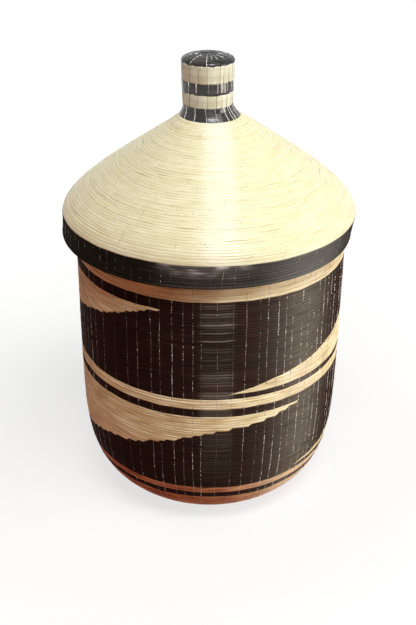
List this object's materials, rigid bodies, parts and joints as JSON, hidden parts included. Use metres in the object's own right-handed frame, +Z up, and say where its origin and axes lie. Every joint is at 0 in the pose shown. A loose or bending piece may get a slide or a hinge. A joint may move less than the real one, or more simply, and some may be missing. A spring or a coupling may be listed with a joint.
{
  "type": "lidded coiled basket",
  "caption": "Round lidded basket of coiled straw with a flat base, slanting dark and natural sashes, and a loose cone-shaped lid with a banded knob.",
  "frame": {"origin": "middle of the flat underside of the base, on the surface that the basket stands on", "axes": "+Z up along the axis of the body and of the lid's lift; -Y is the side that the picture shows; +X is to the right in it"},
  "size_m": [0.2489, 0.2478, 0.3913],
  "materials": {
    "natural_straw": "dry straw laid in fine level rows, faint grain along the row",
    "bleached_straw": "pale straw with a soft sheen, fine level rows",
    "black_dyed_straw": "brown-black dyed straw with a satin sheen and short pale stitches"
  },
  "bodies": {
    "basket_body": {"base_start": "natural_straw", "base_disc": "natural_straw", "foot_wall_natural": "natural_straw", "foot_line_dark": "black_dyed_straw", "foot_line_natural": "natural_straw", "lower_field_edge_dark": "black_dyed_straw", "lower_field_dark": "black_dyed_straw", "lower_field_natural": "natural_straw", "waist_line_dark": "black_dyed_straw", "waist_line_natural": "natural_straw", "upper_field_edge_dark": "black_dyed_straw", "upper_field_dark": "black_dyed_straw", "upper_field_natural": "natural_straw", "top_line_dark": "black_dyed_straw", "top_line_natural": "natural_straw", "mouth_wall_dark": "black_dyed_straw", "mouth_rim": "black_dyed_straw"},
    "lid": {"lid_rim": "black_dyed_straw", "lid_skirt": "black_dyed_straw", "lid_cone": "bleached_straw", "knob_collar": "black_dyed_straw", "knob_band_lower": "bleached_straw", "knob_band_middle": "black_dyed_straw", "knob_band_upper": "bleached_straw", "knob_crown": "black_dyed_straw"}
  },
  "joints": [
    {"name": "lid_lift", "type": "slide", "parent": "basket_body", "child": "lid", "axis": [0, 0, 1], "range_m": [0, 0.2]}
  ]
}
